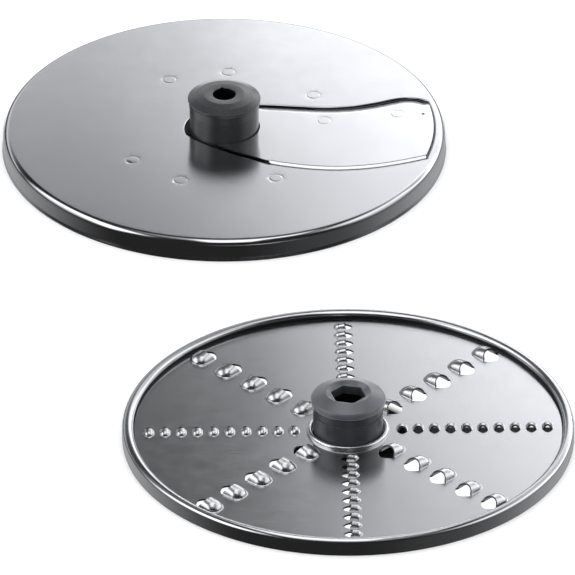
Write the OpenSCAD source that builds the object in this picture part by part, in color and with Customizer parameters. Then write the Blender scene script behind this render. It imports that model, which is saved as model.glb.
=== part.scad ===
// Set of two food-processor cutting discs lying side by side on a flat surface:
// a slicing disc with a raised S-shaped blade, and a grating disc with formed teeth.
// Millimetres, +Z up. The origin is on the surface, midway between the discs.

/* [Discs] */
// Outer diameter of both discs
disc_d = 175; // [170:1:185]
// Sheet thickness of both plates
sheet_t = 1.0; // [0.8:0.1:1.2]
// Sideways offset of each disc's axis from the middle
place_x = 24.2; // [10:0.1:40]
// Front-to-back offset of each disc's axis from the middle
place_y = 110; // [100:1:130]

/* [Slicing disc] */
// Height of the slicing plate's top face
slice_h = 9.0; // [7:0.5:10]
// Radius of the slicing plate's rolled-over edge
slice_edge_r = 2.5; // [1.6:0.1:3]
// Height of the cutting edge above the plate
throat_h = 0.2; // [0.1:0.1:0.6]
// Thickness of the blade plate
blade_t = 0.7; // [0.6:0.1:1]
// Width of the ground bevel on the blade's front edge
grind_w = 1.0; // [0.8:0.1:1.4]
// Width of the slope on the blade's back edge
slope_w = 3.7; // [2:0.1:4]
// Radius of the hub tower at its foot
tower_r = 13.65; // [13:0.05:14]
// Radius of the hub's shoulder
shoulder_r = 14.35; // [14:0.05:15]
// Height of the hub's shoulder above the plate
shoulder_h = 13.8; // [11:0.1:15]
// Height of the hub's top above the plate
tower_h = 15.6; // [13:0.1:17]
// Radius of the round drive bore
bore_r = 4.5; // [4:0.1:4.8]

/* [Grating disc] */
// Height of the grating plate's top face
grate_h = 3.6; // [3.4:0.1:4.5]
// Height of the rim bead above the plate
bead_h = 2.5; // [2:0.1:3.5]
// Outer radius of the rim bead's cross-section
bead_r = 2.1; // [2:0.1:2.4]
// Turn of the whole tooth pattern, in degrees
pattern_a = 1.36; // [0:0.01:5]
// Small teeth in each straight row
small_n = 10; // [6:1:10]
// Radius of the first small tooth
small_r0 = 20.9; // [20.5:0.1:22]
// Spacing of the small teeth along a row
small_step = 6.26; // [6:0.01:6.3]
// Large teeth in each diagonal row
large_n = 5; // [3:1:5]
// Radius of the first large tooth
large_r0 = 23.2; // [22.5:0.1:24]
// Spacing of the large teeth along a row
large_step = 13.6; // [12:0.1:13.6]
// Radius of the grating hub's body
ghub_r = 13.6; // [13:0.1:14]
// Radius of the grating hub's flange
gflange_r = 14.5; // [14:0.1:15]
// Height of the grating hub's flange above the plate
gflange_h = 12.6; // [11:0.1:14]
// Height of the grating hub's top above the plate
ghub_h = 17.3; // [15:0.1:18]
// Width across the flats of the six-sided socket
hex_af = 12; // [10:0.1:12.4]
// Turn of the six-sided socket's corners, in degrees from +X
hex_a = 47; // [0:1:60]

/* [Hidden] */
R = disc_d / 2;
k = disc_d / 175;            // the S-shaped outline grows with the disc
steel = [0.80, 0.81, 0.83];
steel_dark = [0.62, 0.63, 0.66];
plastic = [0.24, 0.25, 0.28];

// ---- smooth curves through a few chosen points -------------------------------------------
function cr(a, b, c, d, t) = 0.5 * (2 * b + (c - a) * t + (2 * a - 5 * b + 4 * c - d) * t * t
                                    + (3 * b - a - 3 * c + d) * t * t * t);
function at(p, i) = p[max(0, min(len(p) - 1, i))];
function curve(p, n) = [for (i = [0 : len(p) - 2]) for (j = [0 : n - 1])
                          cr(at(p, i - 1), at(p, i), at(p, i + 1), at(p, i + 2), j / n)];
function ring(r, a0, a1, n) = [for (i = [0 : n]) let (a = a0 + (a1 - a0) * i / n) [r * cos(a), r * sin(a)]];
// the normal of a polyline at point i, to its left
function side(p, i) = let (v = at(p, i + 1) - at(p, i - 1), l = norm(v)) [-v[1] / l, v[0] / l];
function shift(p, d) = [for (i = [0 : len(p) - 1]) p[i] + d * side(p, i)];

// back edge of the opening, from the hub out to the tip
back_pts = k * [[0, 16.6], [7, 17.9], [15, 18.1], [27, 17.1], [39.4, 16], [50, 16.8],
                [59, 19.3], [66, 22.1], [71, 23.5], [76, 23.1], [80.3, 21.2]];
// front edge of the opening, from the tip back to the hub
front_pts = k * [[80.3, -23.6], [72, -27], [62, -30.2], [52, -32.1], [42, -32.6], [31, -31.3],
                 [19, -28.2], [10.5, -23.6], [3.9, -20], [-2.6, -15.8], [-8, -11.7], [-12.4, -8]];
back_c = concat(curve(back_pts, 3), [back_pts[len(back_pts) - 1]]);
front_c = concat(curve(front_pts, 3), [front_pts[len(front_pts) - 1]]);
eye_r = 15.6 * k;
tip_r = 83.1 * k;
opening = concat(front_c, ring(eye_r, 198, 110, 8), back_c, ring(tip_r, 14, -16, 8));

// the blade plate's outline: back edge, tip, front edge, and the notch round the hub
blade_tip_r = tip_r - 0.6;
notch_r = tower_r + 0.45;
back_b = concat(curve(back_pts, 2), [back_pts[len(back_pts) - 1]]);
front_b = concat(curve(front_pts, 2), [front_pts[len(front_pts) - 1]]);
function near_hub(q) = norm(q) < notch_r + 0.4 ? (notch_r + 0.4) * q / norm(q) : q;
bb = [for (q = shift(back_b, -3.1)) if (q[0] > 4 && q[0] < 80.3 * k) near_hub(q)];
// the front edge runs close to the opening where it cuts, and stands back from it near the hub
bf = concat([for (q = shift(front_b, -0.3)) if (q[0] < 80.2 * k && q[0] > 17.5 * k) q],
            [for (q = shift(front_b, -0.9)) if (q[0] < 17.5 * k && q[0] > -7.4) near_hub(q)]);
blade_outline = concat(bb, ring(blade_tip_r, 12.4, -16.1, 8), bf, ring(notch_r, 236 - 360, 72, 20));
blade_z = slice_h + throat_h;

// cuts a sloping face along the edge from p to q: from height z0 at the edge to z1 at w inside it
module slope_cut(p, q, w, z0, z1) {
    v = q - p;
    s = (z1 - z0) / w;
    translate([p[0], p[1], 0]) rotate([0, 0, atan2(v[1], v[0])]) translate([-0.4, 0, 0]) rotate([90, 0, 90])
        linear_extrude(norm(v) + 0.8) polygon([[1, z0 - s], [-w - 0.2, z1 + 0.2 * s], [1, z1 + 0.2 * s]]);
}

module on_slicing() { translate([-place_x, place_y, 0]) children(); }
module on_grating() { translate([place_x, -place_y, 0]) children(); }

// ---- slicing disc --------------------------------------------------------------------------
// cross-section of the pressed pan: flat sheet, rolled edge, skirt, hem
function arc(cx, cz, r, a0, a1, n) = [for (i = [0 : n]) let (a = a0 + (a1 - a0) * i / n)
                                        [cx + r * cos(a), cz + r * sin(a)]];
module slicing_section() {
    e = slice_edge_r;
    polygon(concat([[0, slice_h - sheet_t], [0, slice_h]],
                   arc(R - 0.4 - e, slice_h - e, e, 90, 0, 6),
                   [[R - 0.4, 1.3], [R, 0.95], [R, 0.25], [R - 0.3, 0], [R - 1.2, 0], [R - 1.4, 0.3], [R - 1.4, slice_h - e]],
                   arc(R - 0.4 - e, slice_h - e, e - sheet_t, 0, 90, 6)));
}
module slicing_plate() {
    color(steel) on_slicing() difference() {
        rotate_extrude($fn = 180) slicing_section();
        translate([0, 0, slice_h - 2]) linear_extrude(4) polygon(opening);
    }
}
module slicing_blade() {
    top = blade_z + blade_t;
    color(steel) on_slicing() difference() {
        translate([0, 0, blade_z]) linear_extrude(blade_t) polygon(blade_outline);
        // the long slope down to the back edge
        for (i = [0 : len(bb) - 2]) if (bb[i][0] > 8 * k) slope_cut(bb[i], bb[i + 1], slope_w, blade_z + 0.06, top);
        // the ground cutting edge, which starts clear of the hub
        for (i = [0 : len(bf) - 2]) if (bf[i + 1][0] > 16 * k) slope_cut(bf[i], bf[i + 1], grind_w, blade_z + 0.06, top);
        // small locating hole near the tip
        translate([78.4 * k, 9.4 * k, blade_z - 1]) cylinder(r = 0.6, h = blade_t + 2, $fn = 24);
    }
}
// places of the welds: three pairs on the plate, two on the blade
plate_welds = [[36, 43.5], [88, 43.5], [120, 43.5], [214, 43.5], [247, 43.5], [298, 43.5]];
blade_welds = [[39.4, 4.3], [68.3, 9.5]];
carrier_t = 1.2;
carrier_z = slice_h - sheet_t - carrier_t;
module polar(a, r) { rotate([0, 0, a]) translate([r * k, 0, 0]) children(); }
module slicing_blade_spacers() {
    color(steel_dark) on_slicing()
        for (q = blade_welds) translate([q[0] * k, q[1] * k, carrier_z + carrier_t])
            cylinder(r = 4, h = blade_z - carrier_z - carrier_t, $fn = 48);
}
// a flat bar with round ends between two points
module bar(p, q, w) {
    v = q - p;
    translate([p[0], p[1], 0]) rotate([0, 0, atan2(v[1], v[0])]) {
        translate([0, -w / 2, 0]) cube([norm(v), w, carrier_t]);
        cylinder(r = w / 2, h = carrier_t, $fn = 48);
        translate([norm(v), 0, 0]) cylinder(r = w / 2, h = carrier_t, $fn = 48);
    }
}
function pol(a, r) = [r * k * cos(a), r * k * sin(a)];
screw_r = 9.8;
screw_a = [50, 170, 290];
module slicing_carrier() {
    color(steel_dark) on_slicing() difference() {
        translate([0, 0, carrier_z]) {
            cylinder(r = 19.5, h = carrier_t, $fn = 96);
            for (f = [[88, 120], [214, 247]]) {
                bar(pol(f[0], 43.5), pol(f[1], 43.5), 13);
                bar([0, 0], (pol(f[0], 43.5) + pol(f[1], 43.5)) / 2, 15);
            }
            bar([0, 0], pol(36, 43.5), 13);
            bar([0, 0], pol(298, 43.5), 13);
            bar([0, 0], k * [70, 9.7], 11);
        }
        translate([0, 0, carrier_z - 1]) cylinder(r = 6.1, h = carrier_t + 2, $fn = 64);
        for (a = screw_a) rotate([0, 0, a]) translate([screw_r, 0, carrier_z - 1])
            cylinder(r = 1.85, h = carrier_t + 2, $fn = 32);
    }
}
seal_t = 0.5;
cap_z = slice_h + shoulder_h - 0.5;
module key_notch(z0, z1) { rotate([0, 0, 101]) translate([0, -0.8, z0]) cube([bore_r + 0.7, 1.6, z1 - z0]); }
module slicing_hub_seal() {
    // wide enough to fill the eye of the plate, drawn in where the opening's front edge passes
    color("dimgray") on_slicing() translate([0, 0, carrier_z + carrier_t]) difference() {
        linear_extrude(seal_t) polygon(concat(ring(eye_r - 0.25, -96, 194, 58), ring(tower_r + 0.3, 200, 258, 12)));
        translate([0, 0, -1]) cylinder(r = 11.9, h = 3, $fn = 96);
    }
}
module slicing_hub_tower() {
    z0 = carrier_z + carrier_t;
    color(plastic) on_slicing() difference() {
        rotate_extrude($fn = 128) polygon([
            [6.1, z0], [11.9, z0], [11.9, z0 + seal_t], [tower_r, z0 + seal_t],
            [tower_r - 0.05, slice_h + 4], [tower_r + 0.05, slice_h + 9],
            [shoulder_r - 0.35, cap_z - 0.8], [shoulder_r, cap_z], [6.1, cap_z]]);
        for (a = screw_a) rotate([0, 0, a]) translate([screw_r, 0, z0 - 1])
            cylinder(r = 1.5, h = 7.5, $fn = 32);
    }
}
module slicing_hub_cap() {
    top = slice_h + tower_h;
    color([0.45, 0.46, 0.5]) on_slicing() difference() {
        rotate_extrude($fn = 128) polygon([
            [bore_r, cap_z], [shoulder_r, cap_z], [shoulder_r, cap_z + 0.35], [shoulder_r - 0.25, cap_z + 0.6],
            [11.4, top - 0.62], [8.0, top], [bore_r + 0.35, top], [bore_r, top - 0.35]]);
        key_notch(cap_z - 1, top + 1);
    }
}
module slicing_hub_clamp() {
    z0 = 1.2;
    color(plastic) on_slicing() difference() {
        rotate_extrude($fn = 128) polygon([
            [6.1, z0], [15.2, z0], [16.4, z0 + 1.2], [16.4, carrier_z], [6.1, carrier_z]]);
        for (a = screw_a) rotate([0, 0, a]) translate([screw_r, 0, 0]) {
            cylinder(r = 1.85, h = 10, $fn = 32);
            translate([0, 0, z0 - 0.01]) cylinder(r1 = 3.4, r2 = 1.85, h = 1.7, $fn = 32);
        }
    }
}
module slicing_drive_sleeve() {
    color(steel_dark) on_slicing() difference() {
        rotate_extrude($fn = 96) polygon([
            [bore_r, 0.3], [6.1, 0.3], [6.1, 0.6], [5.6, 0.6], [5.6, 1.2], [6.1, 1.2], [6.1, cap_z], [bore_r, cap_z]]);
        key_notch(0, cap_z + 1);
    }
}
// open spring ring that holds a sleeve in its clamp
module clip(ri, ro, z0, z1, a) {
    difference() {
        translate([0, 0, z0]) cylinder(r = ro, h = z1 - z0, $fn = 96);
        translate([0, 0, z0 - 1]) cylinder(r = ri, h = z1 - z0 + 2, $fn = 96);
        rotate([0, 0, a]) translate([0, -1.5, z0 - 1]) cube([ro + 1, 3, z1 - z0 + 2]);
    }
}
module slicing_sleeve_clip() { color("dimgray") on_slicing() clip(5.6, 7.0, 0.6, 1.2, 230); }
// countersunk screw, head down, point up
module screw(z0, len, r, rh) {
    hh = rh - r;
    translate([0, 0, z0]) difference() {
        rotate_extrude($fn = 48) polygon([[0, 0], [rh, 0], [r, hh], [r, len - 0.8], [r * 0.4, len], [0, len]]);
        for (a = [0, 90]) rotate([0, 0, a]) translate([-rh * 0.62, -0.28, -0.1]) cube([rh * 1.24, 0.56, 0.8]);
    }
}
module slicing_hub_screws() {
    color(steel) on_slicing() for (a = screw_a) rotate([0, 0, a]) translate([screw_r, 0, 0])
        screw(1.25, 11, 1.5, 3.0);
}

// ---- grating disc --------------------------------------------------------------------------
// one formed tooth: w across the row, l along the motion, h high; the mouth is at -Y and
// hole is how far the opening runs past the cutting lip
function dome_r(w, h) = (w * w / 4 + h * h) / (2 * h);
module bullet(w, l, h, y0, in) {
    r = dome_r(w, h) - in;
    yn = l / 2 - w / 2;
    translate([0, 0, h - dome_r(w, h)]) {
        translate([0, y0, 0]) rotate([-90, 0, 0]) cylinder(r = r, h = yn - y0, $fn = 48);
        translate([0, yn, 0]) sphere(r = r, $fn = 48);
    }
}
module tooth_metal(w, l, h, hole) {
    lip = -l / 2 + hole;
    intersection() {
        bullet(w, l, h, lip - 0.5, 0);
        translate([-w / 2 - 0.2, lip, -sheet_t / 2]) cube([w + 0.4, l, h + sheet_t]);
    }
}
module tooth_void(w, l, h, hole, t) {
    lip = -l / 2 + hole;
    hr = w / 2 - t * 0.6;
    bullet(w, l, h, lip - 0.4, t);
    translate([0, -l / 2 + hr, -2 * sheet_t]) cylinder(r = hr, h = 2 * sheet_t + 0.01, $fn = 48);
}
small = [4.3, 7.4, 1.7, 2.5];
large = [8.5, 12.0, 3.0, 3.5];
module rows() {
    for (a = [0, 90, 180, 270]) for (i = [0 : small_n - 1])
        rotate([0, 0, a + pattern_a]) translate([small_r0 + i * small_step, 0, grate_h]) children(0);
    for (a = [45, 135, 225, 315]) for (i = [0 : large_n - 1])
        rotate([0, 0, a + pattern_a]) translate([large_r0 + i * large_step, 0, grate_h]) children(1);
}
// cross-section of the pressed plate: flat sheet, raised rolled bead, skirt
module grating_section() {
    bx = R - bead_r;
    bz = grate_h + bead_h - bead_r;
    t = sheet_t;
    polygon(concat([[8.4, grate_h - t], [8.4, grate_h], [bx - bead_r - 0.3, grate_h]],
                   arc(bx, bz, bead_r, 170, 0, 12),
                   [[R, 0.25], [R - 0.25, 0], [R - t, 0], [R - t, bz]],
                   arc(bx, bz, bead_r - t, 0, 178, 8),
                   [[bx - bead_r + t, bz - 0.3], [bx - bead_r + 0.3, grate_h - t]]));
}
module grating_plate() {
    color(steel) on_grating() difference() {
        union() {
            rotate_extrude($fn = 180) grating_section();
            rows() {
                tooth_metal(small[0], small[1], small[2], small[3]);
                tooth_metal(large[0], large[1], large[2], large[3]);
            }
        }
        rows() {
            tooth_void(small[0], small[1], small[2], small[3], 0.6);
            tooth_void(large[0], large[1], large[2], large[3], 0.8);
        }
        for (a = gscrew_a) rotate([0, 0, a]) translate([gscrew_r, 0, 0]) cylinder(r = 1.4, h = 6, $fn = 32);
    }
}
module grating_collar() {
    c = (16.1 - ghub_r - 0.2) / 2;
    color(steel) on_grating() rotate_extrude($fn = 128)
        polygon(concat([[ghub_r + 0.2, grate_h], [16.1, grate_h]],
                       arc(ghub_r + 0.2 + c, grate_h + 0.4, c, 0, 180, 10)));
}
gscrew_r = 10.6;
gscrew_a = [30, 150, 270];
module grating_hub_seal() {
    color("dimgray") on_grating() translate([0, 0, grate_h]) difference() {
        cylinder(r = ghub_r - 0.2, h = seal_t, $fn = 96);
        translate([0, 0, -1]) cylinder(r = 12.4, h = 3, $fn = 96);
    }
}
module grating_hub_body() {
    z = grate_h;
    color(plastic) on_grating() difference() {
        rotate_extrude($fn = 128) polygon([
            [8.4, z], [12.4, z], [12.4, z + seal_t], [ghub_r + 0.15, z + seal_t], [ghub_r + 0.15, z + 1.6], [ghub_r, z + 1.9],
            [ghub_r - 0.05, z + 8.4], [ghub_r - 0.25, z + 8.6], [ghub_r - 0.5, z + 8.7], [ghub_r - 0.5, z + gflange_h - 0.2],
            [ghub_r - 0.3, z + gflange_h], [8.4, z + gflange_h]]);
        for (a = gscrew_a) rotate([0, 0, a]) translate([gscrew_r, 0, z - 1]) cylinder(r = 1.2, h = 7.2, $fn = 32);
    }
}
module hexagon(af, z0, z1) {
    rotate([0, 0, hex_a]) translate([0, 0, z0]) cylinder(d = af / cos(30), h = z1 - z0, $fn = 6);
}
module grating_hub_cap() {
    z = grate_h;
    color([0.45, 0.46, 0.5]) on_grating() difference() {
        rotate_extrude($fn = 128) polygon([
            [0, z + gflange_h], [gflange_r - 0.4, z + gflange_h], [gflange_r, z + gflange_h + 0.4],
            [gflange_r, z + gflange_h + 2.2], [gflange_r - 0.6, z + gflange_h + 2.7],
            [9.3, z + ghub_h - 0.15], [8.9, z + ghub_h], [8.5, z + ghub_h], [7.0, z + ghub_h - 1.1], [0, z + ghub_h - 1.1]]);
        hexagon(hex_af, z + gflange_h - 1, z + ghub_h + 1);
    }
}
module grating_hex_sleeve() {
    color(steel_dark) on_grating() difference() {
        rotate_extrude($fn = 96) polygon([
            [0, 0.3], [8.4, 0.3], [8.4, 0.55], [7.9, 0.55], [7.9, 1.1], [8.4, 1.1], [8.4, grate_h + gflange_h], [0, grate_h + gflange_h]]);
        hexagon(hex_af, 0, grate_h + gflange_h + 1);
    }
}
module grating_sleeve_clip() { color("dimgray") on_grating() clip(7.9, 9.2, 0.55, 1.1, 60); }
module grating_hub_clamp() {
    z0 = 1.1;
    color(plastic) on_grating() difference() {
        translate([0, 0, z0]) cylinder(r = 17.2, h = grate_h - sheet_t - z0, $fn = 128);
        translate([0, 0, -1]) cylinder(r = 8.4, h = 6, $fn = 96);
        for (a = gscrew_a) rotate([0, 0, a]) translate([gscrew_r, 0, 0]) {
            cylinder(r = 1.4, h = 6, $fn = 32);
            translate([0, 0, z0 - 0.01]) cylinder(r1 = 2.2, r2 = 1.4, h = 0.9, $fn = 32);
        }
    }
}
module grating_hub_screws() {
    color(steel) on_grating() for (a = gscrew_a) rotate([0, 0, a]) translate([gscrew_r, 0, 0])
        screw(1.12, 7, 1.2, 1.9);
}

slicing_plate();
slicing_blade();
slicing_blade_spacers();
slicing_carrier();
slicing_hub_tower();
slicing_hub_cap();
slicing_hub_clamp();
slicing_drive_sleeve();
slicing_sleeve_clip();
slicing_hub_seal();
slicing_hub_screws();
grating_plate();
grating_collar();
grating_hub_body();
grating_hub_cap();
grating_hex_sleeve();
grating_sleeve_clip();
grating_hub_clamp();
grating_hub_seal();
grating_hub_screws();
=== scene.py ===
"""Two food-processor cutting discs, a slicing disc and a grating disc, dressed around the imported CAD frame."""

import math

import bmesh
import bpy
import numpy as np
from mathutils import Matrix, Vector
from mathutils.geometry import delaunay_2d_cdt


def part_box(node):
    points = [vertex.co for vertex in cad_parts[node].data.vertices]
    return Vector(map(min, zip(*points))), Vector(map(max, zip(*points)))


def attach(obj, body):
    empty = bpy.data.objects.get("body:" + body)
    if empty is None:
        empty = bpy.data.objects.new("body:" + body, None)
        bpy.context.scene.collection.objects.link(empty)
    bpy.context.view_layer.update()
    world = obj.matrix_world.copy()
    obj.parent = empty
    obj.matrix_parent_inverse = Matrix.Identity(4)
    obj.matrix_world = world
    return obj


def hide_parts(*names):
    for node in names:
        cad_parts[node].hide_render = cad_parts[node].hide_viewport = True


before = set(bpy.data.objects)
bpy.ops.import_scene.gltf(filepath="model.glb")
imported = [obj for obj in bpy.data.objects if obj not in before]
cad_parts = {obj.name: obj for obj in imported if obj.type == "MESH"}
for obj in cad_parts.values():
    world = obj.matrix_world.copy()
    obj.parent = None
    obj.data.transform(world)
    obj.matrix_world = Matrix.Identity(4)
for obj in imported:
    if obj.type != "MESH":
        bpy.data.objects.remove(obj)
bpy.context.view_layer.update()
MM = 0.001
scene = bpy.context.scene

# ------------------------------------------------------------------ places, all from the frame
lo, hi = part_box("slicing_plate")
S = Vector(((lo.x + hi.x) / 2, (lo.y + hi.y) / 2, 0))
R = (hi.x - lo.x) / 2 / MM
S_TOP = hi.z / MM
lo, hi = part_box("grating_plate")
G = Vector(((lo.x + hi.x) / 2, (lo.y + hi.y) / 2, 0))
G_RIM = hi.z / MM
G_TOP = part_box("grating_hub_body")[0].z / MM
BLADE_LO, BLADE_HI = (b.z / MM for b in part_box("slicing_blade"))
S_CAP = tuple(b.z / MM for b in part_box("slicing_hub_cap"))
G_CAP = tuple(b.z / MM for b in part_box("grating_hub_cap"))
R = round(R * 2) / 2 - 0.01

# ------------------------------------------------------------------ camera
ELEV = math.radians(31.0)
DIST = 10.6
cam = bpy.data.cameras.new("camera")
cam.sensor_width = 36.0
cam_obj = bpy.data.objects.new("camera", cam)
scene.collection.objects.link(cam_obj)
scene.camera = cam_obj
aim = Vector((0.00074, 0.0, 0.0018))
cam_obj.location = aim + DIST * Vector((0, -math.cos(ELEV), math.sin(ELEV)))
cam_obj.rotation_euler = (math.pi / 2 - ELEV, 0, 0)
cam.lens = 18.0 / (0.1123 / DIST)
cam.clip_start = 0.1
cam.clip_end = 60.0

# ------------------------------------------------------------------ small mesh helpers


def link(name, me):
    o = bpy.data.objects.new(name, me)
    scene.collection.objects.link(o)
    return o


def finish_mesh(o, angle=32.0):
    """Smooth shading with sharp edges where the surface really turns."""
    me = o.data
    me.validate()
    for p in me.polygons:
        p.use_smooth = True
    me.set_sharp_from_angle(angle=math.radians(angle))
    me.update()
    wn = o.modifiers.new("normals", "WEIGHTED_NORMAL")
    wn.mode = "FACE_AREA"
    wn.weight = 50
    wn.keep_sharp = True
    dg = bpy.context.evaluated_depsgraph_get()
    new = bpy.data.meshes.new_from_object(o.evaluated_get(dg), preserve_all_data_layers=True, depsgraph=dg)
    o.modifiers.clear()
    o.data = new
    return o


def mesh_from(name, verts, faces, weld=2e-6, angle=32.0):
    me = bpy.data.meshes.new(name)
    me.from_pydata([tuple(v) for v in verts], [], [tuple(f) for f in faces])
    bm = bmesh.new()
    bm.from_mesh(me)
    bmesh.ops.remove_doubles(bm, verts=bm.verts, dist=weld)
    bmesh.ops.dissolve_degenerate(bm, edges=bm.edges, dist=1e-7)
    bmesh.ops.recalc_face_normals(bm, faces=bm.faces)
    bm.to_mesh(me)
    bm.free()
    return finish_mesh(link(name, me), angle)


def paint(o, *rules):
    """Puts further materials on the faces each rule picks: (material, test(centre, normal))."""
    for material, test in rules:
        o.data.materials.append(material)
        k = len(o.data.materials) - 1
        for p in o.data.polygons:
            if test(p.center, p.normal):
                p.material_index = k
    return o


def fillet(points, radii, n=6, closed=True):
    """A polyline with its corners rounded. points are (r, z) in mm, radii one per point."""
    out = []
    m = len(points)
    for i in range(m):
        p = Vector(points[i])
        if (not closed and i in (0, m - 1)) or radii[i] <= 0:
            out.append(tuple(p))
            continue
        a, b = Vector(points[i - 1]) - p, Vector(points[(i + 1) % m]) - p
        la, lb = a.length, b.length
        a.normalize(), b.normalize()
        half = math.acos(max(-1, min(1, a.dot(b)))) / 2
        if half > math.pi / 2 - 0.02:
            out.append(tuple(p))
            continue
        d = min(radii[i] / math.tan(half), la * 0.49, lb * 0.49)
        r = d * math.tan(half)
        c = p + (a + b).normalized() * (r / math.sin(half))
        v0, v1 = p + a * d - c, p + b * d - c
        a0 = math.atan2(v0.y, v0.x)
        da = math.atan2(v1.y, v1.x) - a0
        da = (da + math.pi) % (2 * math.pi) - math.pi
        for k in range(n + 1):
            t = a0 + da * k / n
            out.append((c.x + r * math.cos(t), c.y + r * math.sin(t)))
    return out


def lathe(name, centre, profile, seg=256, closed=True, angle=32.0, notch=None):
    """A turned piece about the vertical axis through centre. profile is (r, z) in mm."""
    verts, faces = [], []
    m = len(profile)
    for s in range(seg):
        t = 2 * math.pi * s / seg
        for j, (r, z) in enumerate(profile):
            if notch:
                r = notch(r, z, t, j)
            verts.append((centre.x + r * MM * math.cos(t), centre.y + r * MM * math.sin(t), z * MM))
    for s in range(seg):
        q = (s + 1) % seg
        for j in range(m if closed else m - 1):
            k = (j + 1) % m
            faces.append((s * m + j, q * m + j, q * m + k, s * m + k))
    return mesh_from(name, verts, faces, angle=angle)


def catmull(p, n):
    out = []
    at = lambda i: np.array(p[max(0, min(len(p) - 1, i))], float)
    for i in range(len(p) - 1):
        a, b, c, d = at(i - 1), at(i), at(i + 1), at(i + 2)
        for j in range(n):
            t = j / n
            out.append(
                0.5 * (2 * b + (c - a) * t + (2 * a - 5 * b + 4 * c - d) * t * t + (3 * b - a - 3 * c + d) * t**3)
            )
    out.append(at(len(p) - 1))
    return np.array(out)


def arc2(r, a0, a1, n):
    t = np.radians(np.linspace(a0, a1, n + 1))
    return np.stack([r * np.cos(t), r * np.sin(t)], 1)


def normals2(p, closed=False):
    """Unit normals to the left of a polyline."""
    if closed:
        v = np.roll(p, -1, 0) - np.roll(p, 1, 0)
    else:
        v = np.gradient(p, axis=0)
    v /= np.maximum(np.linalg.norm(v, axis=1, keepdims=True), 1e-9)
    return np.stack([-v[:, 1], v[:, 0]], 1)


def resample(p, step, closed=False):
    q = np.vstack([p, p[:1]]) if closed else p
    s = np.concatenate([[0], np.cumsum(np.linalg.norm(np.diff(q, axis=0), axis=1))])
    n = max(3, int(round(s[-1] / step)))
    t = np.linspace(0, s[-1], n + 1)
    out = np.stack([np.interp(t, s, q[:, 0]), np.interp(t, s, q[:, 1])], 1)
    return out[:-1] if closed else out


def round_poly(p, r, n=5, sharp=35):
    """Rounds the sharp corners of a closed 2-D outline."""
    out = []
    m = len(p)
    for i in range(m):
        a, b, c = p[i - 1], p[i], p[(i + 1) % m]
        u, v = (a - b) / np.linalg.norm(a - b), (c - b) / np.linalg.norm(c - b)
        ang = math.degrees(math.acos(max(-1, min(1, float(np.dot(u, v))))))
        if ang > 180 - sharp:
            out.append(b)
            continue
        pts = fillet([tuple(a), tuple(b), tuple(c)], [0, r, 0], n, closed=False)[1:-1]
        out += [np.array(q) for q in pts]
    return np.array(out)


def cdt(loops, keep):
    """Triangulates the region where keep(x, y) is true, with every loop as a hard line. loops are (points, closed)."""
    verts, edges = [], []
    for pts, closed in loops:
        b = len(verts)
        n = len(pts)
        verts += [Vector((float(x), float(y))) for x, y in pts]
        edges += [(b + i, b + i + 1) for i in range(n - 1)]
        if closed:
            edges.append((b + n - 1, b))
    v, _, f, _, _, _ = delaunay_2d_cdt(verts, edges, [], 0, 1e-7)
    v = np.array([(q.x, q.y) for q in v])
    tri = np.array([t for t in f if len(t) == 3], int)
    c = v[tri].mean(1)
    m = keep(c[:, 0], c[:, 1])
    return v, tri[m]


def inside(poly, x, y):
    """Point-in-polygon for arrays."""
    r = np.zeros(len(x), bool)
    px, py = poly[:, 0], poly[:, 1]
    qx, qy = np.roll(px, -1), np.roll(py, -1)
    for a, b, c, d in zip(px, py, qx, qy):
        m = (b > y) != (d > y)
        if not m.any():
            continue
        with np.errstate(divide="ignore", invalid="ignore"):
            xi = (c - a) * (y - b) / (d - b) + a
        r ^= m & (x < xi)
    return r


def circle(cx, cy, r, n=40, a0=0.0):
    t = np.linspace(0, 2 * math.pi, n, endpoint=False) + a0
    return np.stack([cx + r * np.cos(t), cy + r * np.sin(t)], 1)


# ------------------------------------------------------------------ materials
def mat(name):
    m = bpy.data.materials.new(name)
    m.use_nodes = True
    nt = m.node_tree
    b = nt.nodes["Principled BSDF"]
    return m, nt, b


def noise(nt, scale, detail=4.0, vec=None, rough=0.55):
    n = nt.nodes.new("ShaderNodeTexNoise")
    n.inputs["Scale"].default_value = scale
    n.inputs["Detail"].default_value = detail
    n.inputs["Roughness"].default_value = rough
    if vec is not None:
        nt.links.new(vec, n.inputs["Vector"])
    return n


def ramp(nt, fac, stops):
    r = nt.nodes.new("ShaderNodeValToRGB")
    el = r.color_ramp.elements
    while len(el) > 1:
        el.remove(el[-1])
    el[0].position, el[0].color = stops[0][0], (*stops[0][1], 1)
    for pos, col in stops[1:]:
        e = el.new(pos)
        e.color = (*col, 1)
    nt.links.new(fac, r.inputs["Fac"])
    return r


def rng(nt, val, a, b, c, d):
    m = nt.nodes.new("ShaderNodeMapRange")
    for i, v in zip(("From Min", "From Max", "To Min", "To Max"), (a, b, c, d)):
        m.inputs[i].default_value = v
    nt.links.new(val, m.inputs["Value"])
    return m.outputs["Result"]


def obj_vec(nt, scale=(1, 1, 1)):
    tc = nt.nodes.new("ShaderNodeTexCoord")
    mp = nt.nodes.new("ShaderNodeMapping")
    mp.inputs["Scale"].default_value = scale
    nt.links.new(tc.outputs["Object"], mp.inputs["Vector"])
    return mp.outputs["Vector"]


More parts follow.
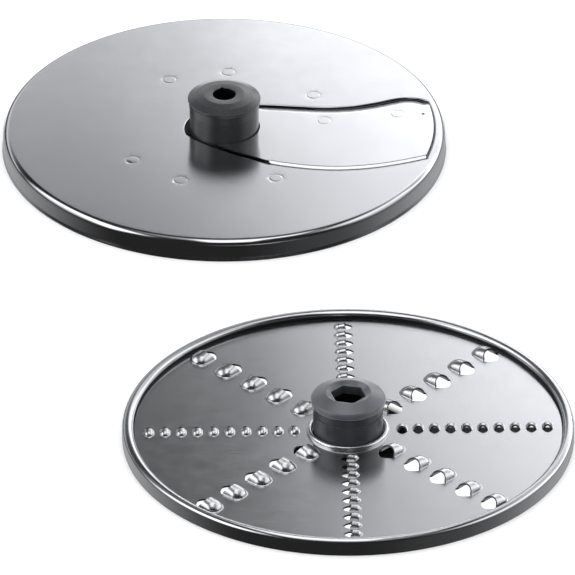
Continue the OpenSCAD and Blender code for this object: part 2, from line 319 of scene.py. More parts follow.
def steel(name, tint, rough, dr=0.04, grain=0.02, stretch=(1, 1, 1), patch=0.03, grain_scale=2600, aniso=0.0):
    """Stainless sheet: colour mottling, uneven polish and a fine rolled grain."""
    m, nt, b = mat(name)
    b.inputs["Metallic"].default_value = 1.0
    v = obj_vec(nt)
    broad = noise(nt, 28, 3, v)
    lo_c = tuple(c * (1 - patch) for c in tint)
    hi_c = tuple(min(1, c * (1 + patch)) for c in tint)
    col = ramp(nt, broad.outputs["Fac"], [(0.3, lo_c), (0.7, hi_c)])
    fine = noise(nt, grain_scale, 2, obj_vec(nt, stretch), 0.6)
    # the grain shows as faint darker and lighter strokes
    strokes = nt.nodes.new("ShaderNodeMix")
    strokes.data_type = "RGBA"
    strokes.blend_type = "MULTIPLY"
    strokes.inputs[0].default_value = 1.0
    nt.links.new(col.outputs["Color"], strokes.inputs[6])
    g = ramp(nt, fine.outputs["Fac"], [(0.25, (1 - patch,) * 3), (0.75, (1.0,) * 3)])
    nt.links.new(g.outputs["Color"], strokes.inputs[7])
    nt.links.new(strokes.outputs[2], b.inputs["Base Color"])
    mid = noise(nt, 160, 4, v)
    add = nt.nodes.new("ShaderNodeMath")
    add.operation = "ADD"
    nt.links.new(rng(nt, mid.outputs["Fac"], 0.25, 0.75, rough - dr * 0.5, rough + dr * 0.5), add.inputs[0])
    nt.links.new(rng(nt, fine.outputs["Fac"], 0.3, 0.7, -dr * 0.4, dr * 0.4), add.inputs[1])
    nt.links.new(add.outputs[0], b.inputs["Roughness"])
    if aniso:
        b.inputs["Anisotropic"].default_value = aniso
        t = nt.nodes.new("ShaderNodeCombineXYZ")
        t.inputs[0].default_value, t.inputs[1].default_value, t.inputs[2].default_value = 0.02, 1.0, 0.013
        nt.links.new(t.outputs[0], b.inputs["Tangent"])
    if grain:
        bp = nt.nodes.new("ShaderNodeBump")
        bp.inputs["Strength"].default_value = grain
        bp.inputs["Distance"].default_value = 0.0001
        nt.links.new(fine.outputs["Fac"], bp.inputs["Height"])
        nt.links.new(bp.outputs["Normal"], b.inputs["Normal"])
    return m


def plastic(name, base, rough, spec=0.5, bump=0.06, sheen=0.0):
    """Moulded plastic: faint flow mottling, satin skin with a fine spark-eroded texture."""
    m, nt, b = mat(name)
    v = obj_vec(nt)
    broad = noise(nt, 60, 3, v)
    col = ramp(nt, broad.outputs["Fac"], [(0.3, tuple(c * 0.9 for c in base)), (0.7, tuple(c * 1.12 for c in base))])
    nt.links.new(col.outputs["Color"], b.inputs["Base Color"])
    fine = noise(nt, 3200, 3, v, 0.6)
    nt.links.new(rng(nt, fine.outputs["Fac"], 0.25, 0.75, rough - 0.05, rough + 0.05), b.inputs["Roughness"])
    b.inputs["Specular IOR Level"].default_value = spec
    b.inputs["Sheen Weight"].default_value = sheen
    b.inputs["Sheen Roughness"].default_value = 0.4
    bp = nt.nodes.new("ShaderNodeBump")
    bp.inputs["Strength"].default_value = bump
    bp.inputs["Distance"].default_value = 0.0001
    nt.links.new(fine.outputs["Fac"], bp.inputs["Height"])
    nt.links.new(bp.outputs["Normal"], b.inputs["Normal"])
    return m


BRUSH = (0.045, 1, 1)
M_SLICE = steel("slicing_sheet_steel", (0.715, 0.725, 0.745), 0.20, 0.02, 0.02, BRUSH, aniso=0.75)
M_RIM = steel("slicing_rim_steel", (0.70, 0.71, 0.73), 0.13, 0.02, 0.0, BRUSH)
M_GRATE = steel("grating_sheet_steel", (0.71, 0.72, 0.735), 0.165, 0.03, 0.02, BRUSH, 0.02, aniso=0.75)
M_BLADE = steel("blade_steel", (0.81, 0.82, 0.84), 0.20, 0.02, 0.02, BRUSH, aniso=0.75)
M_POLISH = steel("polished_steel", (0.80, 0.805, 0.815), 0.24, 0.03, 0.0)
M_INNER = steel("inner_steel", (0.42, 0.425, 0.44), 0.34, 0.08, 0.08, (1, 1, 0.1))
# painted shade: a dark copy of the steel for the carrier, which is seen in shade through the gaps
M_CARRIER_SHADE = steel("carrier_steel_painted_shade", (0.16, 0.162, 0.17), 0.42, 0.08, 0.08, (1, 1, 0.1))
# painted shade: a near-black copy of the steel, put on walls and creases where shade falls
M_SHADE_EDGE = steel("edge_steel_painted_shade", (0.045, 0.045, 0.048), 0.6, 0.1, 0.1)
# painted shade: a dark copy of the steel for the pan's underside and inner skirt
M_SHADE_UNDERSIDE = steel("underside_steel_painted_shade", (0.16, 0.162, 0.168), 0.55, 0.1, 0.1)
# painted light: a paler copy of the wall steel where light falls on it
M_LIT_WALL = steel("cut_wall_steel_painted_light", (0.40, 0.403, 0.41), 0.5, 0.1, 0.1)
M_TOOTH = steel("tooth_steel", (0.70, 0.71, 0.725), 0.27, 0.03, 0.0, BRUSH)
# painted shade: a dark copy of the steel on the cut walls of the holes and mouths
M_MOUTH_SHADE = steel("tooth_mouth_steel_painted_shade", (0.22, 0.222, 0.23), 0.45, 0.1, 0.1)
# painted shade: a dark line along the upper edge of the ground bevel
M_BEVEL_SHADE_LINE = steel("bevel_line_painted_shade", (0.09, 0.091, 0.095), 0.5, 0.1, 0.1)
M_HUB = plastic("hub_plastic", (0.019, 0.0193, 0.0205), 0.30, 0.5)
M_CAP = plastic("hub_cap_plastic", (0.017, 0.018, 0.021), 0.29, 0.8, sheen=0.42)
M_GHUB = plastic("grating_hub_plastic", (0.026, 0.0275, 0.031), 0.33, 0.5)
M_GCAP = plastic("grating_cap_plastic", (0.056, 0.060, 0.070), 0.31, 0.8, sheen=0.45)
M_UNDER = plastic("clamp_plastic", (0.020, 0.0205, 0.023), 0.42, 0.5)
# painted shade: near-black for the bore's walls and the drive sleeves, deep inside the hubs
M_BORE_SHADE = plastic("bore_painted_shade", (0.002, 0.002, 0.0022), 0.7, 0.1)
M_SEAL = plastic("seal_rubber", (0.006, 0.006, 0.0065), 0.65, 0.25, 0.15)

# the ground cutting edge: matt, with fine scratches across it; its pale, mostly non-metal colour is also a painted
# highlight
M_GROUND, gnt, gb = mat("ground_edge_steel_painted_highlight")
gv = noise(gnt, 900, 3, obj_vec(gnt, (1, 0.1, 1)))
gc = ramp(gnt, gv.outputs["Fac"], [(0.3, (0.74, 0.75, 0.76)), (0.7, (0.90, 0.905, 0.91))])
gnt.links.new(gc.outputs["Color"], gb.inputs["Base Color"])
gb.inputs["Metallic"].default_value = 0.25
gb.inputs["Roughness"].default_value = 0.5


def dress(o, material, body, slot, *nodes, also=()):
    o.data.materials.clear()
    o.data.materials.append(material)
    paint(o, *also)
    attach(o, body)
    if nodes:
        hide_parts(*nodes)
    return o


# ------------------------------------------------------------------ slicing disc: plate
back_pts = [(0, 16.6), (7, 17.9), (15, 18.1), (27, 17.1), (39.4, 16), (50, 16.8),
            (59, 19.3), (66, 22.1), (71, 23.5), (76, 23.1), (80.3, 21.2)]
front_pts = [(80.3, -23.6), (72, -27), (62, -30.2), (52, -32.1), (42, -32.6), (31, -31.3),
             (19, -28.2), (10.5, -23.6), (3.9, -20), (-2.6, -15.8), (-8, -11.7), (-12.4, -8)]
back_c = catmull(back_pts, 10)
front_c = catmull(front_pts, 10)
opening = np.vstack([front_c, arc2(15.6, 198, 110, 24), back_c, arc2(83.1, 14, -16, 24)])
opening = opening[np.r_[True, np.linalg.norm(np.diff(opening, axis=0), axis=1) > 0.05]]
opening = round_poly(opening, 0.9)
opening = resample(opening, 0.8, closed=True)
# the outline runs clockwise or anticlockwise: take the normal that points out of the hole, into the sheet
area = 0.5 * np.sum(opening[:, 0] * np.roll(opening[:, 1], -1) - np.roll(opening[:, 0], -1) * opening[:, 1])
out_n = normals2(opening, closed=True) * (-1 if area > 0 else 1)


def slicing_plate():
    e, t = 2.5, 1.0
    edge_r = R - 0.4 - e
    f = 0.45
    fv = np.where((opening[:, 0] > 18.5) & (opening[:, 0] < 79) & (opening[:, 1] < -15), 0.14, f)
    grown = opening + out_n * fv[:, None]
    welds = [(43.5 * math.cos(math.radians(a)), 43.5 * math.sin(math.radians(a))) for a in (36, 88, 120, 214, 247, 298)]
    outer = circle(0, 0, edge_r, 400)
    loops = [(outer, True), (grown, True)]
    for cx, cy in welds:
        for rr in (2.35, 2.6, 2.85, 3.1):
            loops.append((circle(cx, cy, rr, 36), True))
    keep = lambda x, y: (x * x + y * y < edge_r**2) & ~inside(grown, x, y)
    # free points between the outlines, so that no triangle is long and thin
    gx, gy = np.meshgrid(np.arange(-84, 85, 3.5), np.arange(-84, 85, 3.5))
    gx[1::2] += 1.75
    gp = np.stack([gx.ravel(), gy.ravel()], 1)
    gp = gp[keep(gp[:, 0], gp[:, 1])]
    lines = np.vstack([q for q, _ in loops])
    gp = gp[[np.min(np.hypot(lines[:, 0] - q[0], lines[:, 1] - q[1])) > 1.3 for q in gp]]
    loops += [(q[None, :], False) for q in gp]
    v, tri = cdt(loops, keep)
    z = np.full(len(v), S_TOP)
    for cx, cy in welds:
        d = np.hypot(v[:, 0] - cx, v[:, 1] - cy)
        z[np.abs(d - 2.6) < 0.03] -= 0.07
        z[np.abs(d - 2.85) < 0.03] -= 0.07
    verts = [(x, y, q) for (x, y), q in zip(v, z)]
    n = len(v)
    verts += [(x, y, S_TOP - t) for x, y in v]
    faces = [tuple(q) for q in tri] + [tuple(n + i for i in reversed(q)) for q in tri]
    # rolled edge, skirt and hem, outside and inside, as one strip from the top sheet to the bottom sheet
    prof = [(edge_r + e * math.sin(a), S_TOP - e + e * math.cos(a)) for a in np.linspace(0, math.pi / 2, 12)]
    ro = R - 0.4
    prof += [(ro, zz) for zz in np.linspace(S_TOP - e, 2.2, 5)[1:]]
    prof += fillet([(ro, 2.2), (ro, 1.5), (R, 0.5), (R, 0.0), (R - 1.35, 0.0), (R - 1.35, 1.2), (R - 1.4, 1.5)],
                   [0, 0.8, 0.5, 0.22, 0.2, 0.1, 0], 5, closed=False)[1:]
    ei = e - t
    prof += [(edge_r + ei * math.sin(a), S_TOP - e + ei * math.cos(a)) for a in np.linspace(math.pi / 2, 0, 7)]
    seg = len(outer)
    base = len(verts)
    ang = np.linspace(0, 2 * math.pi, seg, endpoint=False)
    m = len(prof)
    for a in ang:
        for r, zz in prof:
            verts.append((r * math.cos(a), r * math.sin(a), zz))
    for s in range(seg):
        q = (s + 1) % seg
        for j in range(m - 1):
            faces.append((base + s * m + j, base + q * m + j, base + q * m + j + 1, base + s * m + j + 1))
    # the opening's wall: a rounded top edge, the wall, a small bottom chamfer
    def wall(f):
        w = [(f - f * math.sin(a), S_TOP - f + f * math.cos(a)) for a in np.linspace(0, math.pi / 2, 7)]
        return w + [(0.0, S_TOP - t + 0.15), (min(f, 0.15) * 0.9, S_TOP - t), (f, S_TOP - t)]

    base = len(verts)
    m = len(wall(f))
    k = len(opening)
    for p, q, fi in zip(opening, out_n, fv):
        for d, zz in wall(fi):
            verts.append((p[0] + q[0] * d, p[1] + q[1] * d, zz))
    for s in range(k):
        q = (s + 1) % k
        for j in range(m - 1):
            faces.append((base + s * m + j, base + q * m + j, base + q * m + j + 1, base + s * m + j + 1))
    verts = [(S.x + x * MM, S.y + y * MM, zz * MM) for x, y, zz in verts]
    return mesh_from("slicing_plate_pressed", verts, faces)


def dist_to(poly, v):
    """Distance of each 2-D point to a polyline."""
    best = np.full(len(v), 1e9)
    a, b = poly[:-1], poly[1:]
    for p, q in zip(a, b):
        d = q - p
        t = np.clip(((v - p) @ d) / max(1e-12, d @ d), 0, 1)
        best = np.minimum(best, np.linalg.norm(v - (p + t[:, None] * d), axis=1))
    return best


def slicing_blade():
    slope, grind = 3.7, 1.0
    bn = normals2(back_c)
    back = back_c - bn * 3.1
    fn = normals2(front_c)
    # close to the opening where it cuts, standing back from it near the hub
    front = front_c - fn * np.where(front_c[:, 0] > 17.6, 0.3, 0.9)[:, None]
    notch_r = 13.65 + 0.45
    back = back[(back[:, 0] > 4) & (back[:, 0] < 80.25) & (np.linalg.norm(back, axis=1) > notch_r)]
    front = front[(front[:, 0] < 80.15) & (front[:, 0] > -7.4) & (np.linalg.norm(front, axis=1) > notch_r)]
    a0 = math.degrees(math.atan2(front[-1][1], front[-1][0]))
    a1 = math.degrees(math.atan2(back[0][1], back[0][0]))
    tip_a = math.degrees(math.atan2(back[-1][1], back[-1][0]))
    tip_b = math.degrees(math.atan2(front[0][1], front[0][0]))
    outline = np.vstack([back, arc2(82.5, 12.4, -16.1, 30), front, arc2(notch_r, a0, a1, 40)])
    outline = outline[np.r_[True, np.linalg.norm(np.diff(outline, axis=0), axis=1) > 0.08]]
    outline = round_poly(outline, 0.5)
    outline = resample(outline, 0.7, closed=True)
    loops = [(outline, True)]
    for s in (0.25, 0.6, 1.0, 1.5, 2.1, 2.8, 3.7):
        nb = normals2(back)
        loops.append((back - nb * s, False))
    ground = front[front[:, 0] > 17.5]
    ng = normals2(ground)
    g_in = ground - ng * grind
    loops.append((g_in, False))
    loops.append((ground - ng * (grind + 0.50), False))
    for cx, cy in ((39.4, 4.3), (68.3, 9.5)):
        for rr in (2.35, 2.6, 2.85, 3.1):
            loops.append((circle(cx, cy, rr, 36), True))
    hole = circle(78.4, 9.4, 0.62, 20)
    loops.append((hole, True))
    keep = lambda x, y: inside(outline, x, y) & ((x - 78.4) ** 2 + (y - 9.4) ** 2 > 0.6**2)
    v, tri = cdt(loops, keep)
    t = BLADE_HI - BLADE_LO
    db = dist_to(back, v)
    ramp_in = np.clip((v[:, 0] - 9) / 8, 0.05, 1)
    u = np.clip(db / (slope * ramp_in), 0, 1)
    z = BLADE_LO + 0.05 + (t - 0.05) * (1 - (1 - u) ** 2)
    dg = dist_to(ground, v)
    g = np.clip(dg / grind, 0, 1)
    zg = BLADE_LO + 0.04 + (t - 0.04) * g
    in_grind = v[:, 0] > 17.45
    z = np.where(in_grind, np.minimum(z, zg), z)
    for cx, cy in ((39.4, 4.3), (68.3, 9.5)):
        d = np.hypot(v[:, 0] - cx, v[:, 1] - cy)
        z[np.abs(d - 2.6) < 0.03] -= 0.06
        z[np.abs(d - 2.85) < 0.03] -= 0.06
    n = len(v)
    verts = [(x, y, q) for (x, y), q in zip(v, z)] + [(x, y, BLADE_LO) for x, y in v]
    faces = [tuple(q) for q in tri] + [tuple(n + i for i in reversed(q)) for q in tri]
    # walls along every boundary edge
    count = {}
    for a, b, c in tri:
        for e in ((a, b), (b, c), (c, a)):
            count[tuple(sorted(e))] = count.get(tuple(sorted(e)), 0) + 1
    for a, b, c in tri:
        for p, q in ((a, b), (b, c), (c, a)):
            if count[tuple(sorted((p, q)))] == 1:
                faces.append((q, p, n + p, n + q))
    verts = [(S.x + x * MM, S.y + y * MM, zz * MM) for x, y, zz in verts]
    o = mesh_from("slicing_blade_ground", verts, faces, weld=1e-6, angle=22)
    o.data.materials.clear()
    o.data.materials.append(M_BLADE)
    ctr = np.array([(p.center.x / MM - S.x / MM, p.center.y / MM - S.y / MM) for p in o.data.polygons])
    near = dist_to(ground, ctr)
    flat = [abs(p.normal.z) for p in o.data.polygons]
    up = [p.normal.z > 0 for p in o.data.polygons]
    # blade bands: near-black walls are painted shade, the paler wall facing the ground edge is painted light, and a
    # dark line along the bevel's upper edge is painted shade
    o["bands"] = [
        (4 if g < 0.6 and x > 17.5 else 1) if f < 0.35 else 2 if u and g < grind and x > 17.5 else 3 if u and grind <= g < grind + 0.48 and x > 17.5 else 0
        for f, u, g, x in zip(flat, up, near, ctr[:, 0])
    ]
    return o


# ------------------------------------------------------------------ grating disc: plate with formed teeth
PATTERN = math.radians(1.36)
SMALL = dict(w=4.3, l=7.4, h=1.7, hole=2.5, rf=0.35, lean=1.0)
LARGE = dict(w=8.5, l=12.0, h=3.0, hole=3.5, rf=0.5, lean=1.8)


def tooth_shape(w, l, h, hole, rf, lean, nt=30):
    """One formed tooth in its own frame: x across the row, y along the motion with the mouth at -y.
    Returns the footprint loop (dome part, then hole part) and the dome's verts and faces, in mm above the sheet."""
    half = w / 2
    lip = -l / 2 + hole
    yn = l / 2 - half
    # cross-section: a small concave foot that runs into a half ellipse; the slope where they meet is found by steps
    phi = math.radians(78)
    for _ in range(12):
        st = rf * (1 - math.cos(phi)) / h
        t0 = math.asin(st)
        ea = (half - rf * math.sin(phi)) / math.cos(t0)
        phi = 0.5 * phi + 0.5 * math.atan2(h, ea * math.tan(t0))
    prof = [(rf * math.sin(t), rf * (1 - math.cos(t))) for t in np.linspace(0, phi, 5)]
    prof += [(half - ea * math.cos(t), h * math.sin(t)) for t in np.linspace(t0, math.pi / 2, 15)[1:]]
    # U-shaped boundary: right side from the lip back, round the closed end, and home along the left side
    ns = nt // 3
    ys = np.linspace(lip, yn, ns, endpoint=False)
    right = [(half, y) for y in ys]
    nose = [(half * math.cos(t), yn + half * math.sin(t)) for t in np.linspace(0, math.pi, nt)]
    left = [(-half, y) for y in ys[::-1]]
    bnd = np.array(right + nose + left)
    # the crest the rings close on: a line from the lip to the middle of the rounded end
    med = np.stack([np.zeros(len(bnd)), np.minimum(bnd[:, 1], yn)], 1)
    verts = []
    for xs, zs in prof:
        q = xs / half
        p = bnd + (med - bnd) * q
        # towards the lip the crown leans back from the mouth
        back = lean * (zs / h) ** 1.3 * np.clip((yn - p[:, 1]) / (yn - lip), 0, 1) ** 2
        # and the crown climbs from the rounded end to the lip
        climb = 1 - 0.36 * np.clip((p[:, 1] - lip) / (l / 2 - lip), 0, 1) ** 1.6
        verts += [(x, y + b, zs * c) for (x, y), b, c in zip(p, back, climb)]
    n = len(bnd)
    faces = []
    for j in range(len(prof) - 1):
        for i in range(n - 1):
            faces.append((j * n + i, j * n + i + 1, (j + 1) * n + i + 1, (j + 1) * n + i))
    # the hole runs on past the lip and narrows to a blunt point
    th = np.linspace(0, 1, 22)[1:-1]
    hx = -half * np.cos(th * math.pi)
    hy = lip - hole * (1 - np.abs(hx / half) ** 1.6) ** 0.85
    loop = np.vstack([bnd, np.stack([hx, hy], 1)])
    return loop, np.array(verts), faces


def turn(p, a, r):
    """From a tooth's own frame to the disc's: turned by a, r out along its row."""
    x, y = p[:, 0] + r, p[:, 1]
    return np.stack([x * math.cos(a) - y * math.sin(a), x * math.sin(a) + y * math.cos(a)], 1)


def grating_plate():
    t = 0.8
    bead_r, bead_h = 2.1, G_RIM - G_TOP
    bx, bz = R - bead_r, G_RIM - bead_r
    flat_r = bx - bead_r - 0.45
    bead_v = 1.5
    bz = G_RIM - bead_v
    loops, holes, domes = [], [], []
    for kind, angles, r0, step, n in (
        (SMALL, (0, 90, 180, 270), 20.9, 6.26, 10),
        (LARGE, (45, 135, 225, 315), 23.2, 13.6, 5),
    ):
        loop, dv, df = tooth_shape(**kind)
        for a in angles:
            a = math.radians(a) + PATTERN
            for i in range(n):
                q = turn(loop, a, r0 + i * step)
                holes.append(q)
                loops.append((q, True))
                # a line just outside keeps the sheet flat between the teeth
                sa = 0.5 * np.sum(q[:, 0] * np.roll(q[:, 1], -1) - np.roll(q[:, 0], -1) * q[:, 1])
                loops.append((q + normals2(q, closed=True) * (-0.14 if sa > 0 else 0.14), True))
                d2 = turn(dv[:, :2], a, r0 + i * step)
                domes.append((np.column_stack([d2, dv[:, 2] + G_TOP]), df))
    outer = circle(0, 0, flat_r, 360)
    inner = circle(0, 0, 8.4, 72)
    loops += [(outer, True), (inner, True)]

    def keep(x, y):
        m = (x * x + y * y < flat_r**2) & (x * x + y * y > 8.4**2)
        for q in holes:
            c = q.mean(0)
            near = np.hypot(x - c[0], y - c[1]) < 9
            idx = np.nonzero(near & m)[0]
            if len(idx):
                m[idx] &= ~inside(q, x[idx], y[idx])
        return m

    v, tri = cdt(loops, keep)
    verts = [(x, y, G_TOP) for x, y in v]
    faces = [tuple(q) for q in tri]
    for dv, df in domes:
        b = len(verts)
        verts += [tuple(p) for p in dv]
        faces += [tuple(b + i for i in f) for f in df]
    # the rim: a tight bend up from the flat sheet, the flattened bead and the skirt
    prof = fillet([(flat_r, G_TOP), (bx - bead_r, G_TOP), (bx - bead_r, bz)], [0, 0.4, 0], 6, closed=False)[:-1]
    prof += [(bx - bead_r * math.cos(a), bz + bead_v * math.sin(a)) for a in np.linspace(0, math.pi, 30)]
    prof += [(R, bz * 0.6), (R, 0.45), (R - 0.05, 0.15), (R - 0.25, 0.0)]
    seg = len(outer)
    base = len(verts)
    m = len(prof)
    for a in np.linspace(0, 2 * math.pi, seg, endpoint=False):
        for r, zz in prof:
            verts.append((r * math.cos(a), r * math.sin(a), zz))
    for s in range(seg):
        q = (s + 1) % seg
        for j in range(m - 1):
            faces.append((base + s * m + j, base + q * m + j, base + q * m + j + 1, base + s * m + j + 1))
    verts = [(G.x + x * MM, G.y + y * MM, zz * MM) for x, y, zz in verts]
    o = mesh_from("grating_plate_pressed", verts, faces, weld=3e-6)
    bm = bmesh.new()
    bm.from_mesh(o.data)
    bm.normal_update()
    up = sum(f.normal.z * f.calc_area() for f in bm.faces)
    if up < 0:
        bmesh.ops.reverse_faces(bm, faces=bm.faces)
    bm.to_mesh(o.data)
    bm.free()
    o.data.materials.append(M_GRATE)
    # the sheet's cut walls take the painted-shade steel
    o.data.materials.append(M_MOUTH_SHADE)
    so = o.modifiers.new("thickness", "SOLIDIFY")
    so.thickness = t * MM
    so.offset = -1.0
    so.use_even_offset = False
    so.use_rim = True
    so.material_offset_rim = 1
    dg = bpy.context.evaluated_depsgraph_get()
    me = bpy.data.meshes.new_from_object(o.evaluated_get(dg))
    o.modifiers.clear()
    o.data = me
    rim = [p.material_index for p in me.polygons]
    co = np.zeros(len(me.vertices) * 3)
    me.vertices.foreach_get("co", co)
    co = co.reshape(-1, 3)
    co[:, 2] = np.maximum(co[:, 2], 0.0)
    me.vertices.foreach_set("co", co.ravel())
    # the crease at the bead's foot is painted dark: painted shade
    o.data.materials.append(M_SHADE_EDGE)
    o.data.materials.append(M_TOOTH)
    foot = bx - bead_r
    for p in me.polygons:
        rr = math.hypot(p.center.x - G.x, p.center.y - G.y) / MM
        if foot - 0.35 < rr < foot + 0.12 and G_TOP - 0.05 < p.center.z / MM < G_TOP + 0.95 and p.material_index == 0:
            p.material_index = 2
        elif rr < flat_r and p.center.z / MM > G_TOP + 0.03 and p.material_index == 0:
            p.material_index = 3
    return finish_mesh(o, 38)


# ------------------------------------------------------------------ hubs
def key(r, z, t, j):
    """The keyway in the round bore, a narrow rounded groove."""
    if r < 4.9 + 0.36:
        d = (t - math.radians(101) + math.pi) % (2 * math.pi) - math.pi
        w = abs(d) * r
        if w < 0.95:
            return r + 0.7 * (1 - (w / 0.95) ** 2)
    return r


def slicing_cap():
    z0, z1 = S_CAP
    p = [(4.5, z0), (14.35, z0), (14.35, z0 + 0.5), (11.4, z1 - 0.62), (8.0, z1), (4.5, z1)]
    p = fillet(p, [0, 0.12, 0.28, 1.5, 0.35, 0.4], 6)
    return lathe("slicing_hub_cap_moulded", S, p, 320, notch=key)


def slicing_tower():
    z0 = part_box("slicing_hub_tower")[0].z / MM
    z1 = S_CAP[0]
    p = [(6.1, z0), (11.9, z0), (11.9, z0 + 0.5), (13.65, z0 + 0.5), (13.58, S_TOP + 4), (13.66, S_TOP + 9),
         (14.0, z1 - 0.8), (14.33, z1 - 0.06), (14.1, z1), (6.1, z1)]
    p = fillet(p, [0, 0, 0, 0.25, 6, 6, 0.5, 0.05, 0, 0], 6)
    return lathe("slicing_hub_tower_moulded", S, p, 256)


def grating_body():
    z, gf = G_TOP, G_CAP[0]
    p = [(8.4, z), (12.4, z), (12.4, z + 0.5), (13.72, z + 0.5), (13.72, z + 1.6), (13.6, z + 2.0), (13.55, z + 8.6),
         (13.1, z + 8.75), (13.1, gf - 0.25), (13.3, gf), (8.4, gf)]
    p = fillet(p, [0, 0, 0, 0.15, 0.1, 0.3, 0.3, 0.12, 0.2, 0, 0], 5)
    return lathe("grating_hub_body_moulded", G, p, 256)


def grating_cap():
    """Flanged cap with the countersunk six-sided socket, its corners at 47 degrees and every 60 from there."""
    gf, top = G_CAP
    seg = 360
    prof = [(14.1, gf), (14.5, gf + 0.4), (14.5, gf + 2.1), (14.0, gf + 2.65), (9.4, top - 0.18), (8.95, top), (8.5, top)]
    prof = fillet(prof, [0, 0.25, 0.35, 0.5, 0.3, 0.12, 0.1], 6, closed=False)
    sink = fillet([(8.5, top), (7.35, top - 0.95), (7.15, top - 1.1)], [0, 0.2, 0], 4, closed=False)[1:]
    verts, faces = [], []
    flat = 6.0

    def hex_r(t, rr=0.35):
        b = (t - math.radians(47)) % (math.pi / 3) - math.pi / 6
        r = flat / math.cos(b)
        # softened corner
        return min(r, (flat / math.cos(math.pi / 6)) - rr * (1 - min(1, abs(abs(b) - math.pi / 6) / 0.06)) * 0.5)

    levels = [top - 1.1, top - 1.35, gf]
    for s in range(seg):
        t = 2 * math.pi * s / seg
        c, sn = math.cos(t), math.sin(t)
        col = prof + sink
        hr = hex_r(t)
        col = col + [(hr + 0.28, levels[0]), (hr + 0.06, levels[0] - 0.1), (hr, levels[1]), (hr, levels[2])]
        for r, zz in col:
            verts.append((G.x + r * c * MM, G.y + r * sn * MM, zz * MM))
    m = len(verts) // seg
    for s in range(seg):
        q = (s + 1) % seg
        for j in range(m):
            k = (j + 1) % m
            faces.append((s * m + j, q * m + j, q * m + k, s * m + k))
    return mesh_from("grating_hub_cap_moulded", verts, faces)


def grating_collar():
    lo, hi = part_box("grating_collar")
    z0 = lo.z / MM
    ro, ri = (hi.x - lo.x) / 2 / MM - 0.01, 13.82
    c = (ro - ri) / 2
    p = [(ri + c + c * math.cos(a), z0 + 0.4 + c * math.sin(a)) for a in np.linspace(0, math.pi, 24)]
    p += fillet([p[-1], (ri, z0), (ro, z0), p[0]], [0, 0.05, 0.12, 0], 4, closed=False)[1:-1]
    return lathe("grating_collar_rolled", G, p, 320)


def wall_near_opening(c, n):
    """The opening's upright wall: side faces well inside the rim."""
    return abs(n.z) < 0.3 and math.hypot(c.x - S.x, c.y - S.y) < 0.0845


def rolled_rim(c, n):
    """The rolled edge, skirt and hem, smoother than the brushed top."""
    return math.hypot(c.x - S.x, c.y - S.y) > 0.0847


def inner_face(c, n):
    """The pan's underside and the inside of its skirt: rough, and painted dark as painted shade."""
    r = math.hypot(c.x - S.x, c.y - S.y)
    if r < 0.0846:
        return n.z < -0.9
    return (n.x * (c.x - S.x) + n.y * (c.y - S.y)) / r < -0.2


def front_edge(c, n):
    """The part of that wall that faces the ground edge, painted pale: painted light where light falls on it."""
    return wall_near_opening(c, n) and c.x - S.x > 0.0175 and c.y < S.y - 0.015


# the socket's walls take the darker body plastic: painted shade in the socket
def wall_in_socket(c, n):
    return abs(n.z) < 0.3 and math.hypot(c.x - G.x, c.y - G.y) < 0.0074


# the bore's walls take the painted-shade near-black
def wall_in_bore(c, n):
    return abs(n.z) < 0.5 and math.hypot(c.x - S.x, c.y - S.y) < 0.0052


# the opening's walls are painted near-black as painted shade
dress(slicing_plate(), M_SLICE, "slicing_disc", "plate_steel", "slicing_plate", also=((M_RIM, rolled_rim), (M_SHADE_UNDERSIDE, inner_face), (M_SHADE_EDGE, wall_near_opening), (M_LIT_WALL, front_edge)))
blade = slicing_blade()
bands = list(blade["bands"])
del blade["bands"]
dress(blade, M_BLADE, "slicing_disc", "blade_steel", "slicing_blade")
for m in (M_SHADE_EDGE, M_GROUND, M_BEVEL_SHADE_LINE, M_LIT_WALL):
    blade.data.materials.append(m)
for p, k in zip(blade.data.polygons, bands):
    p.material_index = k
dress(slicing_tower(), M_HUB, "slicing_disc", "hub_plastic", "slicing_hub_tower")
dress(slicing_cap(), M_CAP, "slicing_disc", "hub_plastic", "slicing_hub_cap", also=((M_BORE_SHADE, wall_in_bore),))
gplate = grating_plate()
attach(gplate, "grating_disc")
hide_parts("grating_plate")
dress(grating_collar(), M_POLISH, "grating_disc", "polished_steel", "grating_collar")
dress(grating_body(), M_GHUB, "grating_disc", "hub_plastic", "grating_hub_body")
dress(grating_cap(), M_GCAP, "grating_disc", "hub_plastic", "grating_hub_cap", also=((M_GHUB, wall_in_socket),))

for n, m in {
    "slicing_blade_spacers": M_INNER, "slicing_carrier": M_CARRIER_SHADE, "slicing_hub_clamp": M_UNDER,
    "slicing_drive_sleeve": M_BORE_SHADE, "slicing_sleeve_clip": M_INNER, "slicing_hub_seal": M_SEAL,
    "slicing_hub_screws": M_INNER, "grating_hex_sleeve": M_BORE_SHADE, "grating_sleeve_clip": M_INNER,
    "grating_hub_clamp": M_UNDER, "grating_hub_seal": M_SEAL, "grating_hub_screws": M_INNER,
}.items():
    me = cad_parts[n].data
    me.materials.clear()
    me.materials.append(m)

# ------------------------------------------------------------------ studio
floor_me = bpy.data.meshes.new("floor")
floor_me.from_pydata([(-6, -6, 0), (6, -6, 0), (6, 6, 0), (-6, 6, 0)], [], [(0, 1, 2, 3)])
floor = link("floor", floor_me)
fm, fnt, fb = mat("floor_white")
fb.inputs["Base Color"].default_value = (0.9, 0.9, 0.9, 1)
fb.inputs["Roughness"].default_value = 1.0
fb.inputs["Specular IOR Level"].default_value = 0.0
# painted light: the floor glows white under the grating disc so its openings show white, but not right round its hub;
# there and under the right-hand row of small teeth the floor's colour is painted dark as painted shade
ftc = fnt.nodes.new("ShaderNodeTexCoord")


